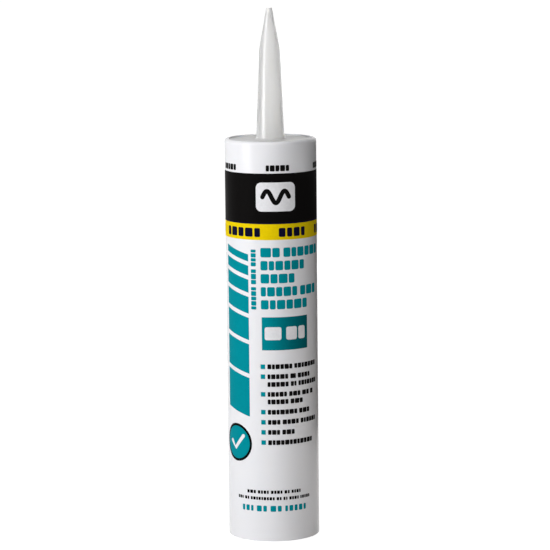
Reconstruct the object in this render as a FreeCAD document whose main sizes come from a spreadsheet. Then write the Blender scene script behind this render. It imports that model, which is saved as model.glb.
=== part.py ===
import FreeCAD
import Part
import Sketcher
import os

# A sealant cartridge that stands on the open rear rim of its barrel.
# Millimetres. The origin is the centre of the rear rim, and +Z runs along the barrel to the spout.

doc = FreeCAD.newDocument("SealantCartridge")

# Driving dimensions
DIMENSIONS = {
    # Barrel: a straight tube whose front edge is turned in over the nozzle head
    "barrel_diameter": 49.2,
    "barrel_length": 216.0,
    "barrel_wall": 1.2,
    "rim_width": 2.5,
    "rim_thickness": 1.3,
    "shoulder_round": 1.7,
    "rim_inner_round": 0.4,
    "mouth_lead_width": 0.5,
    "mouth_lead_length": 1.2,
    # Nozzle head: disc, plug skirt and hollow two-stage spout
    "seat_clearance": 0.05,
    "disc_recess": 0.65,
    "disc_thickness": 2.2,
    "skirt_length": 5.0,
    "skirt_wall": 1.3,
    "spout_height": 70.0,
    "spout_base_diameter": 15.3,
    "spout_kink_diameter": 11.0,
    "spout_tip_diameter": 3.1,
    "spout_kink_drop": 22.2,
    "spout_wall": 1.2,
    "spout_tip_solid": 2.5,
    "spout_base_round": 1.3,
    "spout_kink_round": 25.0,
    "spout_tip_round": 0.35,
    # Foil seal under the spout's outlet
    "seal_diameter": 19.0,
    "seal_thickness": 0.15,
    # Plunger: a cup that opens to the rear, with a sealing ring at each end
    "plunger_recess": 18.0,
    "plunger_length": 18.0,
    "plunger_clearance": 0.05,
    "plunger_wall": 1.2,
    "plunger_face": 1.5,
    "ring_depth": 0.6,
    "ring_height": 2.5,
    "front_chamfer": 0.8,
    "cup_round": 1.5,
    # Sealant column between plunger and head
    "fill_clearance": 0.1,
    "fill_gap": 0.3,
}

sheet = doc.addObject("Spreadsheet::Sheet", "Sizes")
for row, (alias, size) in enumerate(DIMENSIONS.items(), start=1):
    sheet.set(f"A{row}", alias)
    sheet.set(f"B{row}", str(size))
    sheet.setAlias(f"B{row}", alias)
doc.recompute()

# Radii and heights that several pieces share, as expressions on the sheet
AXIS = "0"
outer_radius = "Sizes.barrel_diameter / 2"
bore_radius = f"({outer_radius} - Sizes.barrel_wall)"
crest = "Sizes.barrel_length"

rim_radius = f"({outer_radius} - Sizes.rim_width)"
rim_underside = f"({crest} - Sizes.rim_thickness)"

plug_radius = f"({bore_radius} - Sizes.seat_clearance)"
skirt_bore_radius = f"({plug_radius} - Sizes.skirt_wall)"
disc_top = f"({crest} - Sizes.disc_recess)"
disc_underside = f"({disc_top} - Sizes.disc_thickness)"
skirt_end = f"({disc_underside} - Sizes.skirt_length)"

plunger_rear = "Sizes.plunger_recess"
plunger_front = f"({plunger_rear} + Sizes.plunger_length)"


def number(expression):
    """The present value of an expression on the sheet."""
    return float(sheet.evalExpression(expression))


def turned_body(label, outline):
    """A body turned about the tube's axis from a closed outline of (radius, height) expressions."""
    body = doc.addObject("PartDesign::Body", label)
    body.Label = label
    planes = {feature.Role: feature for feature in body.Origin.OriginFeatures}
    sketch = body.newObject("Sketcher::SketchObject", label + "_outline")
    sketch.AttachmentSupport = (planes["XZ_Plane"], [""])
    sketch.MapMode = "FlatFace"

    corners = [FreeCAD.Vector(number(radius), number(height), 0) for radius, height in outline]
    ends = corners[1:] + corners[:1]
    for start, end in zip(corners, ends):
        sketch.addGeometry(Part.LineSegment(start, end), False)
    for i in range(len(corners)):
        sketch.addConstraint(Sketcher.Constraint("Coincident", i, 2, (i + 1) % len(corners), 1))
    for i, (expressions, corner) in enumerate(zip(outline, corners)):
        place(sketch, i, "DistanceX", expressions[0], corner.x, on_line=-2)
        place(sketch, i, "DistanceY", expressions[1], corner.y, on_line=-1)
    doc.recompute()

    turned = body.newObject("PartDesign::Revolution", label + "_turned")
    turned.Profile = sketch
    turned.ReferenceAxis = (sketch, ["V_Axis"])
    turned.Angle = 360
    doc.recompute()
    return body


def place(sketch, corner, kind, expression, size, on_line):
    """Binds one coordinate of a corner to its expression, or puts the corner on the sketch's own line."""
    if expression == AXIS:
        sketch.addConstraint(Sketcher.Constraint("PointOnObject", corner, 1, on_line))
        return
    index = sketch.addConstraint(Sketcher.Constraint(kind, -1, 1, corner, 1, size))
    sketch.setExpression(f"Constraints[{index}]", expression)


def circle_at(shape, radius, height):
    """The name of the circular edge about the axis with this radius and height."""
    for i, edge in enumerate(shape.Edges, start=1):
        if not isinstance(edge.Curve, Part.Circle):
            continue
        near_radius = abs(edge.Curve.Radius - number(radius)) < 1e-4
        near_height = abs(edge.Curve.Center.z - number(height)) < 1e-4
        if near_radius and near_height:
            return f"Edge{i}"
    raise ValueError(f"no edge at radius {radius}, height {height}")


def round_edge(body, radius, height, size):
    """Rounds the edge at this radius and height by a size from the sheet."""
    base = body.Tip
    fillet = body.newObject("PartDesign::Fillet", f"{body.Label}_{size}")
    fillet.Base = (base, [circle_at(base.Shape, radius, height)])
    fillet.setExpression("Radius", f"Sizes.{size}")
    doc.recompute()


# Barrel
def make_barrel():
    mouth_radius = f"({bore_radius} + Sizes.mouth_lead_width)"
    body = turned_body("barrel", [
        (mouth_radius, AXIS),
        (outer_radius, AXIS),
        (outer_radius, crest),
        (rim_radius, crest),
        (rim_radius, rim_underside),
        (bore_radius, rim_underside),
        (bore_radius, "Sizes.mouth_lead_length"),
    ])
    round_edge(body, outer_radius, crest, "shoulder_round")
    round_edge(body, rim_radius, crest, "rim_inner_round")
    return body


# Nozzle head: its flange seats under the turned-in rim, and its disc fills the rim's opening
def make_nozzle_head():
    disc_radius = f"({rim_radius} - Sizes.seat_clearance)"
    base_radius = "Sizes.spout_base_diameter / 2"
    kink_radius = "Sizes.spout_kink_diameter / 2"
    tip_radius = "Sizes.spout_tip_diameter / 2"
    tip = f"({disc_top} + Sizes.spout_height)"
    kink = f"({tip} - Sizes.spout_kink_drop)"
    hollow_end = f"({tip} - Sizes.spout_tip_solid)"
    tip_slope = f"(({kink_radius} - {tip_radius}) / Sizes.spout_kink_drop)"
    hollow_end_radius = f"({tip_radius} + {tip_slope} * Sizes.spout_tip_solid - Sizes.spout_wall)"
    body = turned_body("nozzle_head", [
        (f"({base_radius} - Sizes.spout_wall)", disc_underside),
        (skirt_bore_radius, disc_underside),
        (skirt_bore_radius, skirt_end),
        (plug_radius, skirt_end),
        (plug_radius, rim_underside),
        (disc_radius, rim_underside),
        (disc_radius, disc_top),
        (base_radius, disc_top),
        (kink_radius, kink),
        (tip_radius, tip),
        (AXIS, tip),
        (AXIS, hollow_end),
        (hollow_end_radius, hollow_end),
        (f"({kink_radius} - Sizes.spout_wall)", kink),
    ])
    round_edge(body, base_radius, disc_top, "spout_base_round")
    round_edge(body, kink_radius, kink, "spout_kink_round")
    round_edge(body, tip_radius, tip, "spout_tip_round")
    return body


# Foil seal: bonded to the disc's underside, across the spout's outlet
def make_inner_seal():
    seal_radius = "Sizes.seal_diameter / 2"
    seal_underside = f"({disc_underside} - Sizes.seal_thickness)"
    return turned_body("inner_seal", [
        (AXIS, seal_underside),
        (seal_radius, seal_underside),
        (seal_radius, disc_underside),
        (AXIS, disc_underside),
    ])


# Plunger
def make_plunger():
    ring_radius = f"({bore_radius} - Sizes.plunger_clearance)"
    waist_radius = f"({ring_radius} - Sizes.ring_depth)"
    cup_radius = f"({waist_radius} - Sizes.plunger_wall)"
    cup_floor = f"({plunger_front} - Sizes.plunger_face)"
    front_ring_end = f"({plunger_front} - Sizes.ring_height)"
    rear_ring_end = f"({plunger_rear} + Sizes.ring_height)"
    body = turned_body("plunger", [
        (AXIS, cup_floor),
        (cup_radius, cup_floor),
        (cup_radius, plunger_rear),
        (ring_radius, plunger_rear),
        (ring_radius, rear_ring_end),
        (waist_radius, rear_ring_end),
        (waist_radius, front_ring_end),
        (ring_radius, front_ring_end),
        (ring_radius, f"({plunger_front} - Sizes.front_chamfer)"),
        (f"({ring_radius} - Sizes.front_chamfer)", plunger_front),
        (AXIS, plunger_front),
    ])
    round_edge(body, cup_radius, cup_floor, "cup_round")
    return body


# Sealant: a column that narrows to pass inside the head's skirt
def make_caulk_fill():
    column_radius = f"({bore_radius} - Sizes.fill_clearance)"
    neck_radius = f"({skirt_bore_radius} - Sizes.fill_clearance)"
    column_foot = f"({plunger_front} + Sizes.fill_gap)"
    column_top = f"({skirt_end} - Sizes.fill_clearance)"
    neck_top = f"({disc_underside} - Sizes.seal_thickness - Sizes.fill_clearance)"
    return turned_body("caulk_fill", [
        (AXIS, column_foot),
        (column_radius, column_foot),
        (column_radius, column_top),
        (neck_radius, column_top),
        (neck_radius, neck_top),
        (AXIS, neck_top),
    ])


pieces = [make_barrel(), make_nozzle_head(), make_inner_seal(), make_plunger(), make_caulk_fill()]
doc.recompute()

for feature in doc.Objects:
    if "Invalid" in feature.State or "Error" in feature.State:
        raise RuntimeError(f"{feature.Label} failed: {feature.State}")
for piece in pieces:
    if piece.Shape.isNull() or not piece.Shape.isValid() or len(piece.Shape.Solids) != 1:
        raise RuntimeError(f"{piece.Label} is not one valid solid")

os.makedirs("parts", exist_ok=True)
for piece in pieces:
    piece.Shape.exportStep(f"parts/{piece.Label}.step")
    box = piece.Shape.BoundBox
    print(f"{piece.Label}: {piece.Shape.Volume / 1000:.2f} ml, z {box.ZMin:.2f} to {box.ZMax:.2f}")

ring_stop = number(f"{skirt_end} - {plunger_front} - Sizes.fill_gap")
print(f"plunger travel: {ring_stop:.2f}")
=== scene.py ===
import math

import bmesh
import bpy
from mathutils import Matrix, Vector


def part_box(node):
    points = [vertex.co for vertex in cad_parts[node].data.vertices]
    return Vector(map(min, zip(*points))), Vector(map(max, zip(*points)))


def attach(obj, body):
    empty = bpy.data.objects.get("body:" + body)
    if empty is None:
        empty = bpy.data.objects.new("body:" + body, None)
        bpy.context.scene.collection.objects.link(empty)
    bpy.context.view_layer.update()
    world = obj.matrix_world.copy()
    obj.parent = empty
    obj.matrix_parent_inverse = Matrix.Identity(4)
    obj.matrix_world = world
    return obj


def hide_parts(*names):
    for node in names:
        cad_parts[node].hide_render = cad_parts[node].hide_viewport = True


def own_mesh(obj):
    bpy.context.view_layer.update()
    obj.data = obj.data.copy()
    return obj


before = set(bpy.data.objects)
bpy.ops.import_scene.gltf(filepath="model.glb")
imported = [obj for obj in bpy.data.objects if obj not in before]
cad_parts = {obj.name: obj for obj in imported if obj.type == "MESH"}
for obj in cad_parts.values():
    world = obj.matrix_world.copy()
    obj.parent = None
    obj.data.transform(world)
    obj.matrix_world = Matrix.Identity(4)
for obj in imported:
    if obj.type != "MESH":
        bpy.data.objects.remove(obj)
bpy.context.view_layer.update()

# The sealant cartridge's looks. Lengths named in millimetres are turned into metres by MM.
MM = 0.001
BODY = "cartridge"

barrel_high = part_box("barrel")[1]
head_low, head_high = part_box("nozzle_head")
BARREL_RADIUS = barrel_high.x / MM
DISC_RECESS = 0.65
DISC_TOP = barrel_high.z / MM - DISC_RECESS
SPOUT_TIP = head_high.z / MM

# Print, in millimetres up the barrel and degrees round it from the front line
BLACK_BAND = (172.6, 199.2)
YELLOW_BAND = (163.8, 172.6)
EDGE_LINE = (172.3, 173.0)

# Ink colours, linear
INK_BLACK = (0.0034, 0.0030, 0.0030, 1.0)
INK_NAVY = (0.003, 0.003, 0.022, 1.0)
INK_YELLOW = (0.84, 0.62, 0.002, 1.0)
INK_TEAL = (0.0, 0.262, 0.318, 1.0)
INK_TEAL_SOLID = (0.0, 0.212, 0.255, 1.0)
INK_WHITE = (0.84, 0.84, 0.87, 1.0)

# Ink reflects far less than the plastic under it
INK_SHINE = 0.02

# Painted shade on the teal field, lighter at the left and darker to the right as the light falls off, as
# (millimetres to the right of the middle, share of its colour)
TEAL_PAINTED_SHADE = ((-4.0, 1.18), (17.9, 0.52))

# Ink stands proud of the barrel by one step for each layer, and reaches a little under its surface
INK_STEP = 0.035
INK_ROOT = 0.08

# Flat print is welded, cut into strips this wide with the given tolerance, and bent round the barrel
WRAP_STEP = 1.0
WELD_DISTANCE = 1e-4
CUT_DISTANCE = 1e-5

# Edges that turn more than this stay sharp
SHARP_ANGLE = math.radians(40)

# The middle range of a noise texture, which holds most of it
NOISE_MIDDLE = (0.3, 0.7)


def arc(degrees):
    """Millimetres round the barrel for an angle from the front line."""
    return math.radians(degrees) * BARREL_RADIUS


# Materials
def material(name, color, roughness):
    """A Principled material, its node tree, and its shader node."""
    made = bpy.data.materials.new(name)
    made.use_nodes = True
    shader = made.node_tree.nodes["Principled BSDF"]
    shader.inputs["Base Color"].default_value = color
    shader.inputs["Roughness"].default_value = roughness
    shader.inputs["IOR"].default_value = 1.5
    return made, made.node_tree, shader


def noise(tree, scale, detail=3.0, stretch=(1.0, 1.0, 1.0)):
    """A noise texture in the part's own frame, in metres, squeezed along each axis by stretch."""
    place = tree.nodes.new("ShaderNodeTexCoord")
    mapping = tree.nodes.new("ShaderNodeMapping")
    mapping.inputs["Scale"].default_value = stretch
    texture = tree.nodes.new("ShaderNodeTexNoise")
    texture.inputs["Scale"].default_value = scale
    texture.inputs["Detail"].default_value = detail
    tree.links.new(place.outputs["Object"], mapping.inputs["Vector"])
    tree.links.new(mapping.outputs["Vector"], texture.inputs["Vector"])
    return texture


def coordinate(tree, axis, space="Object"):
    """One coordinate of the place that is shaded, in the part's own frame unless another space is named."""
    place = tree.nodes.new("ShaderNodeTexCoord")
    parts = tree.nodes.new("ShaderNodeSeparateXYZ")
    tree.links.new(place.outputs[space], parts.inputs["Vector"])
    return parts.outputs[axis]


def ranged(tree, value, source, target):
    """Maps a value from the source range to the target range, each a (low, high) pair."""
    mapped = tree.nodes.new("ShaderNodeMapRange")
    mapped.inputs["From Min"].default_value, mapped.inputs["From Max"].default_value = source
    mapped.inputs["To Min"].default_value, mapped.inputs["To Max"].default_value = target
    tree.links.new(value, mapped.inputs["Value"])
    return mapped.outputs["Result"]


def bump(tree, shader, source, distance):
    """Raises the surface by a texture, distance in metres."""
    raised = tree.nodes.new("ShaderNodeBump")
    raised.inputs["Distance"].default_value = distance
    raised.inputs["Strength"].default_value = 1.0
    tree.links.new(source.outputs["Fac"], raised.inputs["Height"])
    tree.links.new(raised.outputs["Normal"], shader.inputs["Normal"])


def vary_roughness(tree, shader, low, high, scale=90.0):
    """Lets the gloss drift a little over the surface."""
    drift = ranged(tree, noise(tree, scale, 2.0).outputs["Fac"], NOISE_MIDDLE, (low, high))
    tree.links.new(drift, shader.inputs["Roughness"])


def tint(tree, shader, color, dark, scale, stretch=(1.0, 1.0, 1.0)):
    """Lets the colour drift between itself and a slightly darker share of itself."""
    ramp = tree.nodes.new("ShaderNodeValToRGB")
    ramp.color_ramp.elements[0].position = NOISE_MIDDLE[0]
    ramp.color_ramp.elements[0].color = (*(c * dark for c in color[:3]), 1.0)
    ramp.color_ramp.elements[1].position = NOISE_MIDDLE[1]
    ramp.color_ramp.elements[1].color = color
    tree.links.new(noise(tree, scale, 4.0, stretch).outputs["Fac"], ramp.inputs["Fac"])
    tree.links.new(ramp.outputs["Color"], shader.inputs["Base Color"])


def paint_shade_across(tree, shader, start, end):
    """Paints shade on the colour: scales it by a share that changes across the part.
    Start and end are each (millimetres to the right, share)."""
    share = ranged(tree, coordinate(tree, "X"), (start[0] * MM, end[0] * MM), (start[1], end[1]))
    scaled = tree.nodes.new("ShaderNodeVectorMath")
    scaled.operation = "SCALE"
    color = shader.inputs["Base Color"].links[0].from_socket
    tree.links.new(color, scaled.inputs["Vector"])
    tree.links.new(share, scaled.inputs["Scale"])
    tree.links.new(scaled.outputs["Vector"], shader.inputs["Base Color"])


def by_height(tree, socket, stops):
    """Drives a socket by height, from a list of (millimetres up the part, value) stops."""
    low, high = stops[0][0], stops[-1][0]
    share = ranged(tree, coordinate(tree, "Z"), (low * MM, high * MM), (0.0, 1.0))
    ramp = tree.nodes.new("ShaderNodeValToRGB")
    ramp.color_ramp.interpolation = "EASE"
    for i, (height, value) in enumerate(stops):
        position = (height - low) / (high - low)
        if i in (0, len(stops) - 1):
            element = ramp.color_ramp.elements[0 if i == 0 else -1]
            element.position = position
        else:
            element = ramp.color_ramp.elements.new(position)
        element.color = (value, value, value, 1.0)
    tree.links.new(share, ramp.inputs["Fac"])
    tree.links.new(ramp.outputs["Color"], socket)


def scatter(shader, weight, radius, scale):
    """Lets light spread under the surface, as far as scale in millimetres."""
    shader.inputs["Subsurface Weight"].default_value = weight
    shader.inputs["Subsurface Radius"].default_value = radius
    shader.inputs["Subsurface Scale"].default_value = scale * MM


def barrel_material():
    """Opaque white tube plastic: satin gloss, a faint drawn grain along the tube."""
    color = (0.83, 0.83, 0.86, 1.0)
    made, tree, shader = material("barrel_white", color, 0.22)
    shader.inputs["Specular IOR Level"].default_value = 0.35
    scatter(shader, 0.15, (1.0, 0.9, 0.8), 1.2)
    tint(tree, shader, color, 0.985, 40.0, (1.0, 1.0, 0.15))
    vary_roughness(tree, shader, 0.2, 0.25)
    bump(tree, shader, noise(tree, 900.0, 2.0, (1.0, 1.0, 0.2)), 0.008 * MM)
    return made


def ink_material(name, color, roughness=0.5, painted_shade=None):
    """Printed ink: duller than the tube, with slight mottling, and where asked, painted shade that darkens it
    to one side.
    """
    made, tree, shader = material(name, color, roughness)
    shader.inputs["Specular IOR Level"].default_value = INK_SHINE
    tint(tree, shader, color, 0.93, 700.0)
    vary_roughness(tree, shader, roughness - 0.03, roughness + 0.04)
    if painted_shade:
        paint_shade_across(tree, shader, *painted_shade)
    return made


def natural_plastic():
    """Unpigmented moulded plastic: milky, lit through, with a smooth skin and long flow marks.
    The disc is dull, and the plastic lets less light through at the spout's thick foot and solid tip."""
    color = (0.97, 0.967, 0.962, 1.0)
    made, tree, shader = material("nozzle_natural", color, 0.45)
    shader.inputs["Specular IOR Level"].default_value = 0.15
    shader.inputs["Coat Roughness"].default_value = 0.09
    shader.inputs["Coat IOR"].default_value = 1.6
    scatter(shader, 0.5, (1.0, 0.97, 0.9), 1.5)
    tint(tree, shader, color, 0.97, 120.0, (1.0, 1.0, 0.1))
    vary_roughness(tree, shader, 0.4, 0.5)
    bump(tree, shader, noise(tree, 500.0, 3.0, (1.0, 1.0, 0.12)), 0.01 * MM)
    foot_height, tip_height, clear = 9.0, 8.0, 0.82
    by_height(tree, shader.inputs["Transmission Weight"], [
        (DISC_TOP, 0.3), (DISC_TOP + foot_height, clear), (SPOUT_TIP - tip_height, clear), (SPOUT_TIP, 0.35)])
    by_height(tree, shader.inputs["Coat Weight"], [(DISC_TOP + 0.5, 0.0), (DISC_TOP + 1.5, 1.0)])
    return made


def plunger_plastic():
    """Waxy white plunger plastic with a fine mould texture."""
    color = (0.80, 0.80, 0.77, 1.0)
    made, tree, shader = material("plunger_white", color, 0.45)
    scatter(shader, 0.3, (1.0, 0.95, 0.85), 2.0)
    tint(tree, shader, color, 0.95, 160.0)
    vary_roughness(tree, shader, 0.4, 0.52)
    bump(tree, shader, noise(tree, 1500.0), 0.03 * MM)
    return made


def seal_foil():
    """Thin crinkled foil."""
    color = (0.80, 0.80, 0.82, 1.0)
    made, tree, shader = material("seal_foil", color, 0.3)
    shader.inputs["Metallic"].default_value = 1.0
    vary_roughness(tree, shader, 0.24, 0.4, 400.0)
    bump(tree, shader, noise(tree, 350.0, 5.0), 0.08 * MM)
    return made


def sealant_paste():
    """Smooth milky paste that dries clear."""
    color = (0.78, 0.80, 0.80, 1.0)
    made, tree, shader = material("sealant_paste", color, 0.22)
    scatter(shader, 0.6, (1.0, 1.0, 1.0), 4.0)
    tint(tree, shader, color, 0.96, 80.0)
    bump(tree, shader, noise(tree, 220.0), 0.15 * MM)
    return made


def dress(node, finish):
    """Gives a CAD node its material."""
    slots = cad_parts[node].material_slots
    for each in slots:
        each.material = finish
    if not slots:
        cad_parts[node].data.materials.append(finish)


dress("barrel", barrel_material())
dress("nozzle_head", natural_plastic())
dress("plunger", plunger_plastic())
dress("inner_seal", seal_foil())


# Gaps between the blocks of a row, as shares of its height: bold, open, fine and size print
LETTER_GAP = 0.13
OPEN_GAP = 0.2
FINE_GAP = 0.22
SIZE_GAP = 0.28

# A block's usual width and the round of its corners, as shares of its row's height, and how widths vary
BLOCK_WIDTH = 0.86
BLOCK_ROUND = 0.14
BLOCK_PATTERN = (1.0, 0.8, 1.15, 0.9, 1.1, 0.75)
PATTERN_STEP = 5


# Print shapes: flat outlines of (millimetres round the barrel, millimetres up it)
def rectangle(left, right, low, high):
    """An outline with square corners."""
    return [(left, low), (right, low), (right, high), (left, high)]


def rounded(left, right, low, high, radius, turns=4):
    """A rectangle with round corners."""
    points = []
    centres = [(right - radius, low + radius, -90), (right - radius, high - radius, 0),
               (left + radius, high - radius, 90), (left + radius, low + radius, 180)]
    for x, y, start in centres:
        for i in range(turns + 1):
            angle = math.radians(start + 90 * i / turns)
            points.append((x + radius * math.cos(angle), y + radius * math.sin(angle)))
    return points


def disc(x, y, radius, sides=64):
    """A round outline."""
    return [(x + radius * math.cos(math.tau * i / sides), y + radius * math.sin(math.tau * i / sides))
            for i in range(sides)]


def stroke(points, width, turns=8):
    """A band of even width with round ends, as outlines that share their edges along a line of points."""
    left, right = [], []
    for i, (x, y) in enumerate(points):
        before, after = points[max(i - 1, 0)], points[min(i + 1, len(points) - 1)]
        along = Vector((after[0] - before[0], after[1] - before[1])).normalized() * width / 2
        left.append((x - along.y, y + along.x))
        right.append((x + along.y, y - along.x))
    shapes = [list(corners) for corners in zip(right, right[1:], left[1:], left)]
    for centre, start in ((points[0], left[0]), (points[-1], right[-1])):
        first = math.atan2(start[1] - centre[1], start[0] - centre[0])
        angles = [first + math.pi * i / turns for i in range(turns + 1)]
        shapes.append([(centre[0] + width / 2 * math.cos(angle), centre[1] + width / 2 * math.sin(angle))
                       for angle in angles])
    return shapes


def blocks(start, length, low, high, upright=True, gap_share=LETTER_GAP):
    """A word's place filled with plain blocks of letter size, along the row from start."""
    height = high - low
    gap = gap_share * height
    count = max(1, round(length / (BLOCK_WIDTH * height)))
    widths = [BLOCK_PATTERN[(i * PATTERN_STEP + count) % len(BLOCK_PATTERN)] for i in range(count)]
    unit = (length - gap * (count - 1)) / sum(widths)
    shapes = []
    at = start
    for share in widths:
        end = at + share * unit
        if upright:
            shapes.append(rounded(at, end, low, high, BLOCK_ROUND * height, 2))
        else:
            shapes.append(rounded(low, high, at, end, BLOCK_ROUND * height, 2))
        at = end + gap
    return shapes


def row(left, words, low, high, space, gap_share=LETTER_GAP):
    """A line of words, each given by its length."""
    shapes = []
    at = left
    for length in words:
        shapes += blocks(at, length, low, high, gap_share=gap_share)
        at += length + space
    return shapes


def finished(name, mesh, finish):
    """Turns built faces into an object with its material, smooth but for its sharp edges."""
    bmesh.ops.recalc_face_normals(mesh, faces=mesh.faces[:])
    data = bpy.data.meshes.new(name)
    mesh.to_mesh(data)
    mesh.free()
    data.materials.append(finish)
    data.shade_smooth()
    data.set_sharp_from_angle(angle=SHARP_ANGLE)
    piece = bpy.data.objects.new(name, data)
    bpy.context.scene.collection.objects.link(piece)
    return piece


def on_barrel(piece):
    """Lets a piece of print move with the barrel."""
    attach(piece, BODY)


def circle(mesh, radius, height, sides):
    """A ring of points about Z, from millimetres."""
    angles = [math.tau * i / sides for i in range(sides)]
    return [mesh.verts.new((radius * MM * math.cos(angle), radius * MM * math.sin(angle), height * MM))
            for angle in angles]


def skin(mesh, below, above):
    """Faces between two rings of points."""
    for i in range(len(below)):
        j = (i + 1) % len(below)
        mesh.faces.new((below[i], below[j], above[j], above[i]))


def band(name, low, high, layer, finish, sides=156):
    """One ink all the way round the barrel, as a thin closed ring."""
    outside = BARREL_RADIUS + INK_STEP * (layer + 1)
    inside = BARREL_RADIUS - INK_ROOT
    mesh = bmesh.new()
    profile = [(inside, low), (outside, low), (outside, high), (inside, high)]
    rings = [circle(mesh, radius, height, sides) for radius, height in profile]
    for below, above in zip(rings, rings[1:] + rings[:1]):
        skin(mesh, below, above)
    on_barrel(finished(name, mesh, finish))


def ink(name, shapes, layer, finish):
    """One ink's shapes wrapped round the barrel as thin closed solids."""
    flat = bmesh.new()
    for outline in shapes:
        flat.faces.new([flat.verts.new((x, y, 0.0)) for x, y in outline])
    bmesh.ops.remove_doubles(flat, verts=flat.verts[:], dist=WELD_DISTANCE)
    bmesh.ops.triangulate(flat, faces=flat.faces[:], quad_method="BEAUTY", ngon_method="EAR_CLIP")
    low = min(v.co.x for v in flat.verts)
    high = max(v.co.x for v in flat.verts)
    for i in range(1, math.ceil((high - low) / WRAP_STEP)):
        bmesh.ops.bisect_plane(flat, geom=flat.verts[:] + flat.edges[:] + flat.faces[:], dist=CUT_DISTANCE,
                               plane_co=(low + i * WRAP_STEP, 0, 0), plane_no=(1, 0, 0))
    lid = flat.faces[:]
    grown = bmesh.ops.extrude_face_region(flat, geom=lid, use_keep_orig=True)
    raised = {v for v in grown["geom"] if isinstance(v, bmesh.types.BMVert)}
    outside = BARREL_RADIUS + INK_STEP * (layer + 1)
    inside = BARREL_RADIUS - INK_ROOT
    for v in flat.verts:
        angle = v.co.x / BARREL_RADIUS
        radius = (outside if v in raised else inside) * MM
        v.co = (radius * math.sin(angle), -radius * math.cos(angle), v.co.y * MM)
    on_barrel(finished(name, flat, finish))


black = ink_material("ink_black", INK_BLACK)
navy = ink_material("ink_navy", INK_NAVY)
yellow = ink_material("ink_yellow", INK_YELLOW)
teal = ink_material("ink_teal", INK_TEAL)
# The teal field's ink carries painted shade, darker to the right
teal_solid = ink_material("ink_teal_solid", INK_TEAL_SOLID, painted_shade=TEAL_PAINTED_SHADE)
white = ink_material("ink_white", INK_WHITE)

# Bands all the way round
band("band_black", *BLACK_BAND, 0, black)
band("band_yellow", *YELLOW_BAND, 0, yellow)
band("band_edge_line", *EDGE_LINE, 1, navy)

# Short repeated blocks above the black band, as (start, width, low, high)
REPEATS = 5
TOP_WORD = (arc(-6.1), arc(29.4), 200.4, 203.6)
top_words = []
for i in range(REPEATS):
    top_words += blocks(TOP_WORD[0] + arc(360 / REPEATS) * (i - REPEATS // 2), *TOP_WORD[1:])
ink("top_words", top_words, 0, black)

# Words of the yellow band, as angles (start, width)
BAND_WORDS = [(-66.9, 52.8), (9.3, 36.6), (68.4, 46.0), (138.0, 34.0), (-164.0, 38.0), (-112.0, 24.0)]
BAND_WORD_HEIGHTS = (165.4, 170.2)
band_words = []
for start, width in BAND_WORDS:
    band_words += blocks(arc(start), arc(width), *BAND_WORD_HEIGHTS, gap_share=OPEN_GAP)
ink("band_words", band_words, 1, navy)

# Plain panel with a wavy bead, on the black band
PANEL = (arc(-19), arc(31), 179.0, 194.5)
PANEL_ROUND = 3.0
ink("panel", [rounded(*PANEL, PANEL_ROUND, 8)], 1, white)
BEAD_STEPS = 48
BEAD_MARGIN = 3.6
BEAD_SWING = 3.2
BEAD_WAVES = 1.5
BEAD_WIDTH = 2.4
bead_left, bead_right = PANEL[0] + BEAD_MARGIN, PANEL[1] - BEAD_MARGIN
bead_middle = (PANEL[2] + PANEL[3]) / 2
bead_line = []
for i in range(BEAD_STEPS + 1):
    share = i / BEAD_STEPS
    bead_line.append((bead_left + (bead_right - bead_left) * share,
                      bead_middle + BEAD_SWING * math.sin(math.tau * BEAD_WAVES * share)))
ink("panel_bead", stroke(bead_line, BEAD_WIDTH), 2, black)

# Graduated slanted blocks up the left side
STRIPE_LEFT, STRIPE_RIGHT = arc(-71.0), arc(-30.5)
STRIPE_LOW = 68.0
STRIPE_SLANT = math.tan(math.radians(14)) * (STRIPE_RIGHT - STRIPE_LEFT)
STRIPE_GAP = 2.3
STRIPE_HEIGHTS = (21.0, 16.0, 12.0, 9.0, 7.0, 5.2, 3.8)
stripes = []
at = STRIPE_LOW
for height in STRIPE_HEIGHTS:
    stripes.append([(STRIPE_LEFT, at + STRIPE_SLANT), (STRIPE_RIGHT, at),
                    (STRIPE_RIGHT, at + height), (STRIPE_LEFT, at + height + STRIPE_SLANT)])
    at += height + STRIPE_GAP
ink("side_stripes", stripes, 0, teal)

# Narrow upright row beside them
UPRIGHT_START = 126.4
UPRIGHT_WORDS = (12.0, 8.0, 9.0)
UPRIGHT_SPACE = 1.6
UPRIGHT_SIDES = (arc(-26.8), arc(-20.0))
upright_row = []
at = UPRIGHT_START
for length in UPRIGHT_WORDS:
    upright_row += blocks(at, length, *UPRIGHT_SIDES, upright=False)
    at += length + UPRIGHT_SPACE
ink("upright_row", upright_row, 0, teal)

# Heading lines
HEAD_LEFT = arc(-14.0)
HEAD_TOP, HEAD_HEIGHT, HEAD_PITCH, HEAD_SPACE = 159.6, 5.0, 7.0, 2.0
HEADING = [(10.4, 25.5), (25.0,), (18.6,), (20.2, 13.0), (27.0,)]
heading = []
for i, words in enumerate(HEADING):
    top = HEAD_TOP - i * HEAD_PITCH
    heading += row(HEAD_LEFT, words, top - HEAD_HEIGHT, top, HEAD_SPACE)
ink("heading", heading, 0, teal)

# Teal block, where a large field prints denser, with pale blocks on it
TEAL_BLOCK = (arc(-13.2), arc(49.0), 104.5, 122.3)
# Its ink has painted shade, lighter at the left and darker to the right
ink("teal_block", [rectangle(*TEAL_BLOCK)], 0, teal_solid)
block_words = row(arc(-9.6), (9.0, 11.6), 110.0, 117.0, 2.6)
ink("teal_block_words", block_words, 1, white)

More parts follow.
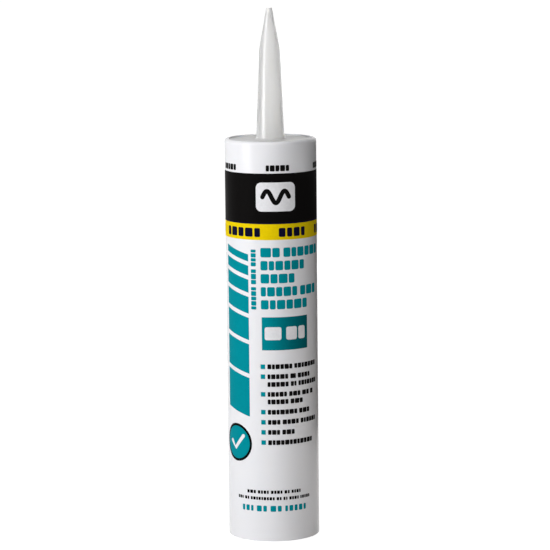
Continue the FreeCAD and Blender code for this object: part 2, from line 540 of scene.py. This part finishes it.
# Bulleted lines: bullet or not, height of the middle, word lengths
BULLET = 2.45
BULLET_LEFT = arc(-15.2)
LIST_TEXT = 2.6
LIST_LEFT = arc(-6.6)
LIST_SPACE = 1.3
LIST = [
    (True, 95.6, (13.6, 16.4)),
    (True, 90.2, (11.2, 3.2, 8.6)),
    (False, 86.0, (11.4, 3.4, 14.6)),
    (True, 80.6, (10.4, 6.8, 5.0, 2.4)),
    (False, 76.5, (11.2, 7.6)),
    (True, 70.9, (16.4, 7.4)),
    (True, 65.4, (6.6, 9.4, 12.6)),
    (True, 59.9, (6.4, 7.0)),
    (True, 54.3, (27.4,)),
]
bullets = []
list_lines = []
for bullet, middle, words in LIST:
    if bullet:
        bullets.append(rectangle(BULLET_LEFT, BULLET_LEFT + BULLET, middle - BULLET / 2, middle + BULLET / 2))
    list_lines += row(LIST_LEFT, words, middle - LIST_TEXT / 2, middle + LIST_TEXT / 2, LIST_SPACE)
ink("bullets", bullets, 0, teal)
ink("list_lines", list_lines, 0, black)

# Round badge with a tick
BADGE = (arc(-52.0), 53.0)
BADGE_RADIUS, FACE_RADIUS = 10.3, 8.9
ink("badge_rim", [disc(*BADGE, BADGE_RADIUS)], 0, black)
ink("badge_face", [disc(*BADGE, FACE_RADIUS)], 1, teal)
TICK = [(-4.6, 0.4), (-1.4, -3.2), (4.8, 4.0)]
TICK_WIDTH = 2.0
ink("badge_tick", stroke([(BADGE[0] + x, BADGE[1] + y) for x, y in TICK], TICK_WIDTH), 2, white)

# Lines near the foot
foot_small = row(arc(-35.5), (5.2, 6.0, 6.2, 2.8, 5.5), 26.2, 28.0, 1.2, FINE_GAP)
foot_small += row(arc(-50.5), (3.7, 2.7, 13.4, 2.6, 2.2, 5.6, 6.6), 22.7, 24.4, 1.1, FINE_GAP)
ink("foot_lines", foot_small, 0, black)
ink("foot_size_line", row(arc(-43.2), (7.0, 5.6, 6.0, 12.8), 16.4, 19.6, 2.0, SIZE_GAP), 0, teal)


# Sealant column, a fixed piece that moves with the barrel; in the real cartridge it shortens as the plunger
# comes forward
def turned(name, outline, finish, sides=96):
    """A closed piece turned about Z from (radius, height) pairs that start and end on the axis."""
    mesh = bmesh.new()
    foot = mesh.verts.new((0, 0, outline[0][1] * MM))
    tip = mesh.verts.new((0, 0, outline[-1][1] * MM))
    rings = [circle(mesh, radius, height, sides) for radius, height in outline[1:-1]]
    for i in range(sides):
        j = (i + 1) % sides
        mesh.faces.new((foot, rings[0][j], rings[0][i]))
        mesh.faces.new((tip, rings[-1][i], rings[-1][j]))
    for below, above in zip(rings, rings[1:]):
        skin(mesh, below, above)
    return finished(name, mesh, finish)


# It narrows to pass inside the head's skirt, from a little below the skirt's end
fill_low, fill_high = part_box("caulk_fill")
SKIRT_WALL = 1.35
SKIRT_GAP = 0.1
FILL_RADIUS = fill_high.x / MM
NECK_RADIUS = FILL_RADIUS - SKIRT_WALL
FILL_LOW, FILL_TOP = fill_low.z / MM, fill_high.z / MM
NECK_LOW = head_low.z / MM - SKIRT_GAP
EDGE = 0.5
column = turned("sealant_column", [
    (0, FILL_LOW),
    (FILL_RADIUS - EDGE, FILL_LOW),
    (FILL_RADIUS, FILL_LOW + EDGE),
    (FILL_RADIUS, NECK_LOW - EDGE),
    (FILL_RADIUS - EDGE, NECK_LOW),
    (NECK_RADIUS, NECK_LOW),
    (NECK_RADIUS, FILL_TOP - EDGE),
    (NECK_RADIUS - EDGE, FILL_TOP),
    (0, FILL_TOP),
], sealant_paste())
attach(column, BODY)
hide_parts("caulk_fill")
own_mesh(column)


# Camera, as fitted to the barrel's and spout's outline in a frame of 550 x 550 pixels
IMAGE_SIZE = 550
FOCAL_PIXELS = 2702.8
CAMERA_PLACE = (0.0, -1443.71 * MM, 356.26 * MM)
CAMERA_DOWN, CAMERA_RIGHT, CAMERA_ROLL = 8.4625, 0.0695, 0.5842

camera_data = bpy.data.cameras.new("camera")
camera_data.sensor_width = 36.0
camera_data.lens = FOCAL_PIXELS * camera_data.sensor_width / IMAGE_SIZE
camera = bpy.data.objects.new("camera", camera_data)
bpy.context.scene.collection.objects.link(camera)
camera.matrix_world = (Matrix.Translation(CAMERA_PLACE)
                       @ Matrix.Rotation(math.radians(-CAMERA_RIGHT), 4, "Z")
                       @ Matrix.Rotation(math.radians(90 - CAMERA_DOWN), 4, "X")
                       @ Matrix.Rotation(math.radians(-CAMERA_ROLL), 4, "Z"))
bpy.context.scene.camera = camera


# Lights, in watts, and the light of the surroundings at their left and right ends
KEY_POWER = 1.56
FRONT_POWER = 2.2
BROW_POWER = 1.4
TOP_POWER = 0.44
LEFT_CARD_POWER = 0.02
RIGHT_CARD_POWER = 0.028
BACK_POWER = 5.0
RIGHT_STRIP_POWER = 0.0029
LEFT_STRIP_POWER = 0.0012
ROOM_LEFT, ROOM_RIGHT = 0.25, 0.0
FLOOR_SIZE = 24.0
FLOOR_DROP = 0.05 * MM
FLOOR_COLOR = (0.60, 0.60, 0.59, 1.0)
FLOOR_ROUGHNESS = 0.85
FLOOR_WHITE = 1.26
FLOOR_SHARE = 0.8


def softbox(name, place, aim, width, height, power, color=(1.0, 1.0, 1.0), mirrored=False, spread=180):
    """A rectangular lamp at place, facing aim, that reflections show only where it is mirrored.
    A spread of few degrees keeps its light in a narrow beam, as a grid does."""
    data = bpy.data.lights.new(name, "AREA")
    data.shape = "RECTANGLE"
    data.size = width
    data.size_y = height
    data.energy = power
    data.color = color
    data.spread = math.radians(spread)
    lamp = bpy.data.objects.new(name, data)
    bpy.context.scene.collection.objects.link(lamp)
    lamp.location = place
    lamp.visible_camera = False
    lamp.visible_glossy = mirrored
    lamp.visible_transmission = False
    lamp.rotation_euler = (Vector(aim) - Vector(place)).to_track_quat("-Z", "Y").to_euler()


# A near softbox on the left, so high that its reflection shows on the upper barrel and the spout only,
# weak lamps in front, above and behind, and a card at each side of the foot, as light off a table top
softbox("key", (-0.433, -0.25, 0.32), (0.0, 0.0, 0.18), 0.22, 0.42, KEY_POWER, mirrored=True)
softbox("front", (-0.17, -1.0, 0.9), (0.0, 0.0, 0.14), 0.6, 0.6, FRONT_POWER)
softbox("brow", (-0.15, -0.75, 0.06), (0.0, 0.0, 0.06), 0.4, 0.1, BROW_POWER)
softbox("top", (0.0, -0.05, 0.75), (0.0, 0.0, 0.2), 0.3, 0.3, TOP_POWER)
softbox("left_card", (-0.2, -0.1, 0.025), (0.0, 0.0, 0.03), 0.16, 0.03, LEFT_CARD_POWER)
softbox("right_card", (0.2, -0.1, 0.025), (0.0, 0.0, 0.03), 0.16, 0.03, RIGHT_CARD_POWER, (1.0, 0.86, 0.72))
softbox("back", (0.0, 1.1, 0.3), (0.0, 0.0, 0.14), 0.6, 0.4, BACK_POWER)

# A strip with a grid at each side, the right one warm and the left one cool and weak.
# Their beams clear the rim and light only the spout and the disc.
STRIP_AIM = (0.0, 0.0, 0.2434)
STRIP_SPREAD = 3
softbox("right_strip", (0.133, -0.062, 0.2746), STRIP_AIM, 0.05, 0.06, RIGHT_STRIP_POWER, (1.0, 0.965, 0.90),
        spread=STRIP_SPREAD)
softbox("left_strip", (-0.133, -0.062, 0.2746), STRIP_AIM, 0.05, 0.06, LEFT_STRIP_POWER, (0.97, 0.98, 1.0),
        spread=STRIP_SPREAD)


# A low dark flag on the right, which only reflections show, so that the barrel's right edge stays dark
FLAG_BEARING = math.radians(35)
FLAG_REACH = 0.25
FLAG_WIDTH, FLAG_HEIGHT = 0.35, 0.195
bpy.ops.mesh.primitive_plane_add(size=1.0)
flag = bpy.context.object
flag.name = "flag"
flag.scale = (FLAG_WIDTH, FLAG_HEIGHT, 1.0)
flag.location = (FLAG_REACH * math.cos(FLAG_BEARING), FLAG_REACH * math.sin(FLAG_BEARING), FLAG_HEIGHT / 2)
flag.rotation_euler = (math.radians(90), 0, FLAG_BEARING + math.radians(90))
flag_cloth = material("flag_cloth", (0.02, 0.02, 0.02, 1.0), 0.9)[0]
flag.data.materials.append(flag_cloth)
flag.visible_camera = False
flag.visible_shadow = False
flag.visible_diffuse = False
flag.visible_transmission = False


# Backdrop: the floor and the surroundings are white where the camera, a reflection or glass shows them
def seen(tree, most):
    """The share of white: most for camera, glossy and transmission rays, and none for the rest."""
    paths = tree.nodes.new("ShaderNodeLightPath")
    total = paths.outputs["Is Camera Ray"]
    for kind in ("Is Glossy Ray", "Is Transmission Ray"):
        either = tree.nodes.new("ShaderNodeMath")
        either.operation = "MAXIMUM"
        tree.links.new(total, either.inputs[0])
        tree.links.new(paths.outputs[kind], either.inputs[1])
        total = either.outputs["Value"]
    share = tree.nodes.new("ShaderNodeMath")
    share.operation = "MULTIPLY"
    share.inputs[1].default_value = most
    tree.links.new(total, share.inputs[0])
    return share.outputs["Value"]


bpy.ops.mesh.primitive_plane_add(size=FLOOR_SIZE, location=(0, 0, -FLOOR_DROP))
floor = bpy.context.object
floor.name = "floor"
floor_material = bpy.data.materials.new("floor_pale")
floor_material.use_nodes = True
floor_tree = floor_material.node_tree
floor_shader = floor_tree.nodes["Principled BSDF"]
floor_shader.inputs["Base Color"].default_value = FLOOR_COLOR
floor_shader.inputs["Roughness"].default_value = FLOOR_ROUGHNESS
glow = floor_tree.nodes.new("ShaderNodeEmission")
glow.inputs["Strength"].default_value = FLOOR_WHITE
mix = floor_tree.nodes.new("ShaderNodeMixShader")
floor_tree.links.new(seen(floor_tree, FLOOR_SHARE), mix.inputs["Fac"])
floor_tree.links.new(floor_shader.outputs["BSDF"], mix.inputs[1])
floor_tree.links.new(glow.outputs["Emission"], mix.inputs[2])
floor_tree.links.new(mix.outputs["Shader"], floor_tree.nodes["Material Output"].inputs["Surface"])
floor.data.materials.append(floor_material)

# Light from the surroundings is brighter on the left
world = bpy.data.worlds.new("studio")
bpy.context.scene.world = world
world.use_nodes = True
world_tree = world.node_tree
room = world_tree.nodes["Background"]
room.inputs["Color"].default_value = (1.0, 1.0, 1.0, 1.0)
backdrop = world_tree.nodes.new("ShaderNodeBackground")
backdrop.inputs["Color"].default_value = (1.0, 1.0, 1.0, 1.0)
side = coordinate(world_tree, "X", "Generated")
strength = ranged(world_tree, side, (-1.0, 1.0), (ROOM_LEFT, ROOM_RIGHT))
world_mix = world_tree.nodes.new("ShaderNodeMixShader")
world_tree.links.new(strength, room.inputs["Strength"])
world_tree.links.new(seen(world_tree, 1.0), world_mix.inputs["Fac"])
world_tree.links.new(room.outputs["Background"], world_mix.inputs[1])
world_tree.links.new(backdrop.outputs["Background"], world_mix.inputs[2])
world_tree.links.new(world_mix.outputs["Shader"], world_tree.nodes["World Output"].inputs["Surface"])

bpy.context.scene.view_settings.view_transform = "Standard"
